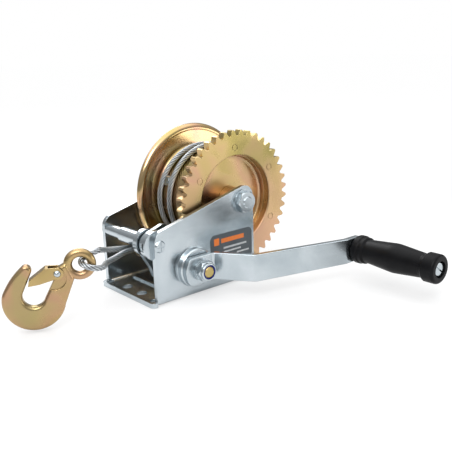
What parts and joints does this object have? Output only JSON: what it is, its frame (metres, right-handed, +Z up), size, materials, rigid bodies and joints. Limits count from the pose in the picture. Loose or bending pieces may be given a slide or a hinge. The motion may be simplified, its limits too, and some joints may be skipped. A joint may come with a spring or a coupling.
{
  "type": "boat trailer winch",
  "caption": "Hand winch for a boat trailer: bent-steel frame, geared rope drum, crank with turning grip, ratchet pawl, wire rope and safety hook.",
  "frame": {"origin": "underside of the base, on the middle plane between the side plates, at the side plates' front edge", "axes": "+Z up out of the base; -X towards the boat, the way the rope pulls; -Y the side with the crank"},
  "size_m": [0.2967, 0.2364, 0.1345],
  "materials": {
    "frame": "bright zinc plate, satin",
    "shaft_bushes": "sintered bronze",
    "tie_rod": "bright zinc plate, satin",
    "pawl_spring_cup": "bright zinc plate, satin",
    "axle_bolt": "bright zinc plate, satin",
    "axle_sleeve": "plain turned steel",
    "axle_washers": "bright zinc plate, satin",
    "axle_nut": "bright zinc plate, satin",
    "label": "printed film",
    "rope_lead": "galvanised wire rope",
    "rope_ferrule": "crimped",
    "drum_gear": "yellow zinc plate, iridescent",
    "drum_near_disc": "yellow zinc plate, iridescent",
    "drum_far_half": "yellow zinc plate, iridescent",
    "drum_far_web": "yellow zinc plate, iridescent",
    "drum_hub_tube": "yellow zinc plate, iridescent",
    "rope_wraps": "galvanised wire rope",
    "rope_anchor": "bright zinc plate, satin",
    "rope_anchor_screw": "bright zinc plate, satin",
    "drive_shaft": "yellow zinc plate, iridescent",
    "pinion": "plain turned steel",
    "ratchet_wheel": "plain turned steel",
    "shaft_clip": "spring wire",
    "crank_arm": "bright zinc plate, satin",
    "crank_washers": "bright zinc plate, satin",
    "crank_nut": "bright zinc plate, satin",
    "crank_nut_ring": "nylon",
    "grip_bolt": "bright zinc plate, satin",
    "grip_nut": "bright zinc plate, satin",
    "grip": "fine matt moulding",
    "pawl": "bright zinc plate, satin",
    "pawl_spring": "spring wire",
    "rope_eye": "galvanised wire rope",
    "hook": "yellow zinc plate, iridescent",
    "latch_pin": "bright zinc plate, satin",
    "latch_spring": "spring wire",
    "latch": "bright zinc plate, satin"
  },
  "bodies": {
    "frame": {"frame": "frame", "shaft_bushes": "shaft_bushes", "tie_rod": "tie_rod", "pawl_spring_cup": "pawl_spring_cup", "axle_bolt": "axle_bolt", "axle_sleeve": "axle_sleeve", "axle_washers": "axle_washers", "axle_nut": "axle_nut", "label": "label", "rope_lead": "rope_lead", "rope_ferrule": "rope_ferrule"},
    "drum": {"drum_gear": "drum_gear", "drum_near_disc": "drum_near_disc", "drum_far_half": "drum_far_half", "drum_far_web": "drum_far_web", "drum_hub_tube": "drum_hub_tube", "rope_wraps": "rope_wraps", "rope_anchor": "rope_anchor", "rope_anchor_screw": "rope_anchor_screw"},
    "crank": {"drive_shaft": "drive_shaft", "pinion": "pinion", "ratchet_wheel": "ratchet_wheel", "shaft_clip": "shaft_clip", "crank_arm": "crank_arm", "crank_washers": "crank_washers", "crank_nut": "crank_nut", "crank_nut_ring": "crank_nut_ring", "grip_bolt": "grip_bolt", "grip_nut": "grip_nut"},
    "grip": {"grip": "grip"},
    "pawl": {"pawl": "pawl", "pawl_spring": "pawl_spring"},
    "rope_eye": {"rope_eye": "rope_eye"},
    "hook": {"hook": "hook", "latch_pin": "latch_pin", "latch_spring": "latch_spring"},
    "latch": {"latch": "latch"}
  },
  "joints": [
    {"name": "drum_spin", "type": "hinge", "parent": "frame", "child": "drum", "pos_m": [0.0946, 0, 0.072], "axis": [0, 1, 0], "continuous": true},
    {"name": "crank_spin", "type": "hinge", "parent": "frame", "child": "crank", "pos_m": [0.038, 0, 0.026], "axis": [0, 1, 0], "continuous": true},
    {"name": "grip_spin", "type": "hinge", "parent": "crank", "child": "grip", "pos_m": [0.171, -0.146, 0.026], "axis": [0, 1, 0], "continuous": true},
    {"name": "pawl_pivot", "type": "hinge", "parent": "frame", "child": "pawl", "pos_m": [0.005, 0, 0.0505], "axis": [0, -1, 0], "range_deg": [-8, 10]},
    {"name": "rope_eye_swing", "type": "hinge", "parent": "frame", "child": "rope_eye", "pos_m": [0.012, 0, 0.0404], "axis": [0, -1, 0], "range_deg": [0, 25]},
    {"name": "hook_swing", "type": "hinge", "parent": "rope_eye", "child": "hook", "pos_m": [-0.0601, -0.0285, 0.0494], "axis": [-0.4695, -0.8829, 0], "range_deg": [-50, 50]},
    {"name": "latch_swing", "type": "hinge", "parent": "hook", "child": "latch", "pos_m": [-0.07502, -0.02057, 0.0445], "axis": [-0.4695, -0.8829, 0], "range_deg": [0, 30]}
  ],
  "couplings": [
    {"joint": "crank_spin", "follows": "drum_spin", "ratio": -4.1}
  ]
}
